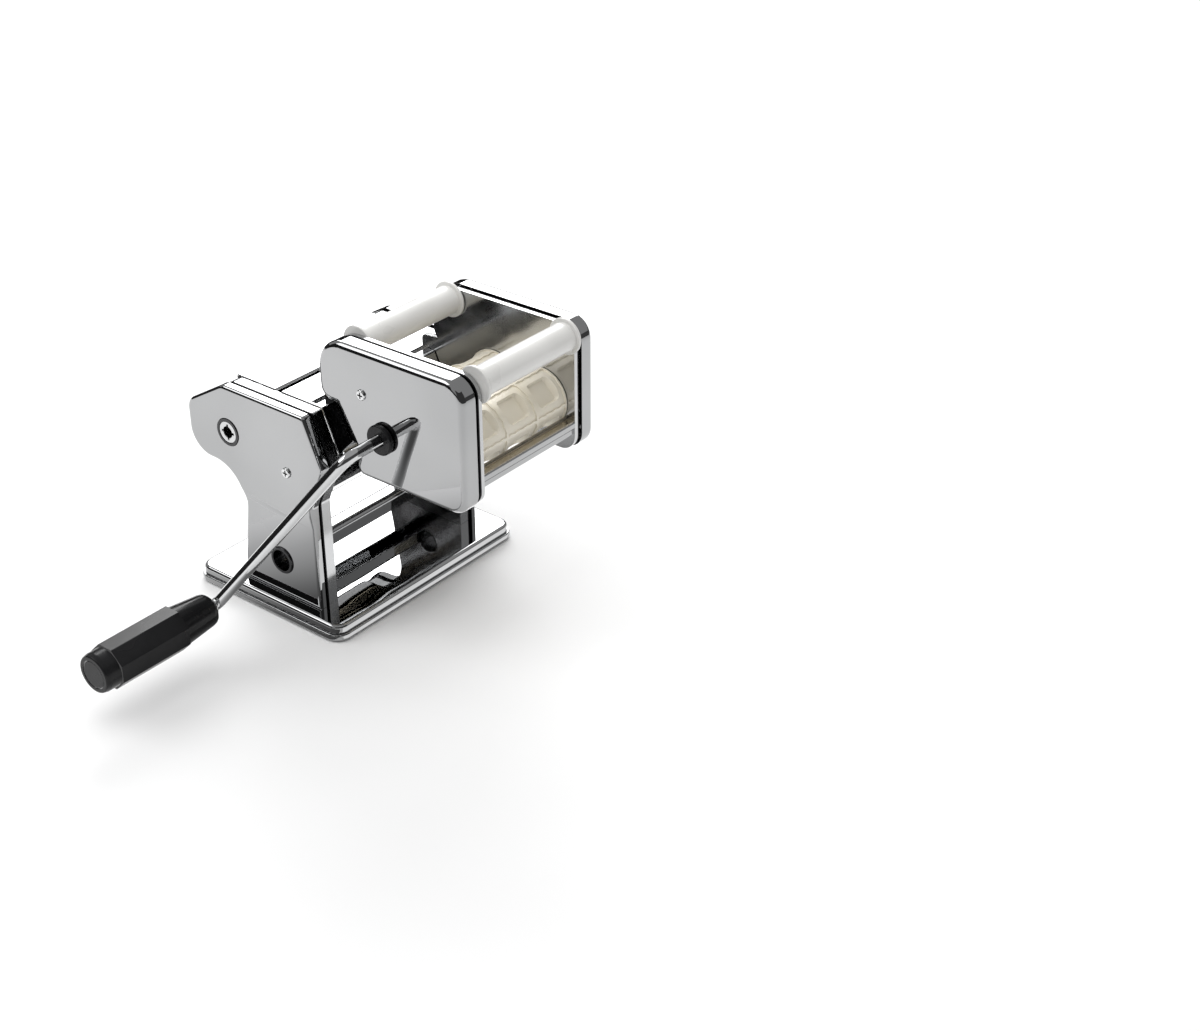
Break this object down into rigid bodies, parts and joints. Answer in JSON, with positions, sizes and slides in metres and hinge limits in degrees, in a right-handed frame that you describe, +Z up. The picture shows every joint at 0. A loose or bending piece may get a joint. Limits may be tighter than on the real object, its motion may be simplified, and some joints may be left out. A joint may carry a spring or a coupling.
{
  "type": "ravioli maker",
  "caption": "Hand cranked dough roller on a flat base with a hooked-on ravioli attachment: paired moulding drums, guide rollers and a bent crank with a black grip.",
  "frame": {"origin": "centre of the underside of the base, on the table", "axes": "+Z up; +X along the rollers, away from the crank; -Y towards the ravioli attachment"},
  "size_m": [0.4023, 0.277, 0.2495],
  "materials": {
    "chrome_shell": "polished",
    "base_chrome": "polished",
    "frame_steel": "satin",
    "roller_steel": "polished",
    "gear_steel": "machined",
    "blade_steel": "satin",
    "screw_chrome": "polished",
    "crank_chrome": "polished",
    "bush_steel": "satin",
    "drum_ivory": "gloss",
    "guide_white": "gloss",
    "black_plastic": "gloss",
    "pad_rubber": "matt"
  },
  "bodies": {
    "machine": {"base_plate": "base_chrome", "base_pad": "pad_rubber", "near_side_casing": "chrome_shell", "far_side_casing": "chrome_shell", "near_side_frame": "frame_steel", "far_side_frame": "frame_steel", "top_cover": "chrome_shell", "front_cover": "chrome_shell", "lower_stretcher": "chrome_shell", "roller_guard": "chrome_shell", "drive_roller_scraper": "blade_steel", "gap_roller_scraper": "blade_steel", "tie_rods": "frame_steel", "casing_screws": "screw_chrome", "frame_screws": "screw_chrome", "near_clamp_bush": "screw_chrome", "far_clamp_bush": "screw_chrome", "crank_hub_bush": "bush_steel", "drive_roller_bush": "bush_steel", "adjusting_shaft_cup": "bush_steel", "dial_ring": "frame_steel"},
    "drive_roller": {"drive_roller": "roller_steel", "drive_roller_gear": "gear_steel"},
    "gap_carriage": {"near_bearing_block": "bush_steel", "far_bearing_block": "bush_steel"},
    "gap_roller": {"gap_roller": "roller_steel", "gap_roller_gear": "gear_steel"},
    "dial": {"adjusting_shaft": "roller_steel", "gap_cam": "gear_steel", "thickness_knob": "black_plastic"},
    "attachment": {"attachment_near_cap": "chrome_shell", "attachment_far_cap": "chrome_shell", "attachment_near_plate": "frame_steel", "attachment_far_plate": "frame_steel", "front_crossbar": "chrome_shell", "rear_crossbar": "chrome_shell", "front_drum_scraper": "blade_steel", "rear_drum_scraper": "blade_steel", "cap_posts": "bush_steel", "cap_screws": "screw_chrome", "drum_bushes": "bush_steel", "rear_guide_pin": "roller_steel", "front_guide_pin": "roller_steel"},
    "drive_drum": {"drive_drum": "drum_ivory", "drive_drum_shaft": "roller_steel", "drive_drum_gear": "gear_steel"},
    "driven_drum": {"driven_drum": "drum_ivory", "driven_drum_shaft": "roller_steel", "driven_drum_gear": "gear_steel"},
    "rear_guide": {"rear_guide_roller": "guide_white"},
    "front_guide": {"front_guide_roller": "guide_white"},
    "crank": {"crank_rod": "crank_chrome", "crank_collar": "black_plastic", "crank_ferrule": "crank_chrome"},
    "grip": {"crank_grip": "black_plastic", "grip_end_cap": "black_plastic"}
  },
  "joints": [
    {"name": "attachment_lift", "type": "slide", "parent": "machine", "child": "attachment", "axis": [0, 0, 1], "range_m": [0, 0.03]},
    {"name": "drive_roller_spin", "type": "hinge", "parent": "machine", "child": "drive_roller", "pos_m": [0, 0.0366, 0.1438], "axis": [1, 0, 0], "continuous": true},
    {"name": "gap_slide", "type": "slide", "parent": "machine", "child": "gap_carriage", "axis": [0, 1, 0], "range_m": [0, 0.002]},
    {"name": "gap_roller_spin", "type": "hinge", "parent": "gap_carriage", "child": "gap_roller", "pos_m": [0, 0.0613, 0.1438], "axis": [1, 0, 0], "continuous": true},
    {"name": "dial_turn", "type": "hinge", "parent": "machine", "child": "dial", "pos_m": [0, 0.0613, 0.1438], "axis": [1, 0, 0], "range_deg": [0, 320]},
    {"name": "drive_drum_spin", "type": "hinge", "parent": "attachment", "child": "drive_drum", "pos_m": [0, -0.1095, 0.178], "axis": [1, 0, 0], "continuous": true},
    {"name": "driven_drum_spin", "type": "hinge", "parent": "attachment", "child": "driven_drum", "pos_m": [0, -0.1575, 0.178], "axis": [1, 0, 0], "continuous": true},
    {"name": "rear_guide_spin", "type": "hinge", "parent": "attachment", "child": "rear_guide", "pos_m": [0, -0.067, 0.233], "axis": [1, 0, 0], "continuous": true},
    {"name": "front_guide_spin", "type": "hinge", "parent": "attachment", "child": "front_guide", "pos_m": [0, -0.181, 0.235], "axis": [1, 0, 0], "continuous": true},
    {"name": "crank_pull", "type": "slide", "parent": "drive_drum", "child": "crank", "axis": [-1, 0, 0], "range_m": [0, 0.03]},
    {"name": "grip_spin", "type": "hinge", "parent": "crank", "child": "grip", "pos_m": [-0.1765, -0.019, 0.0475], "axis": [1, 0, 0], "continuous": true}
  ],
  "couplings": [
    {"joint": "dial_turn", "follows": "gap_slide", "rad_per_m": 2792.5},
    {"joint": "gap_roller_spin", "follows": "drive_roller_spin", "ratio": -1},
    {"joint": "driven_drum_spin", "follows": "drive_drum_spin", "ratio": -1}
  ]
}
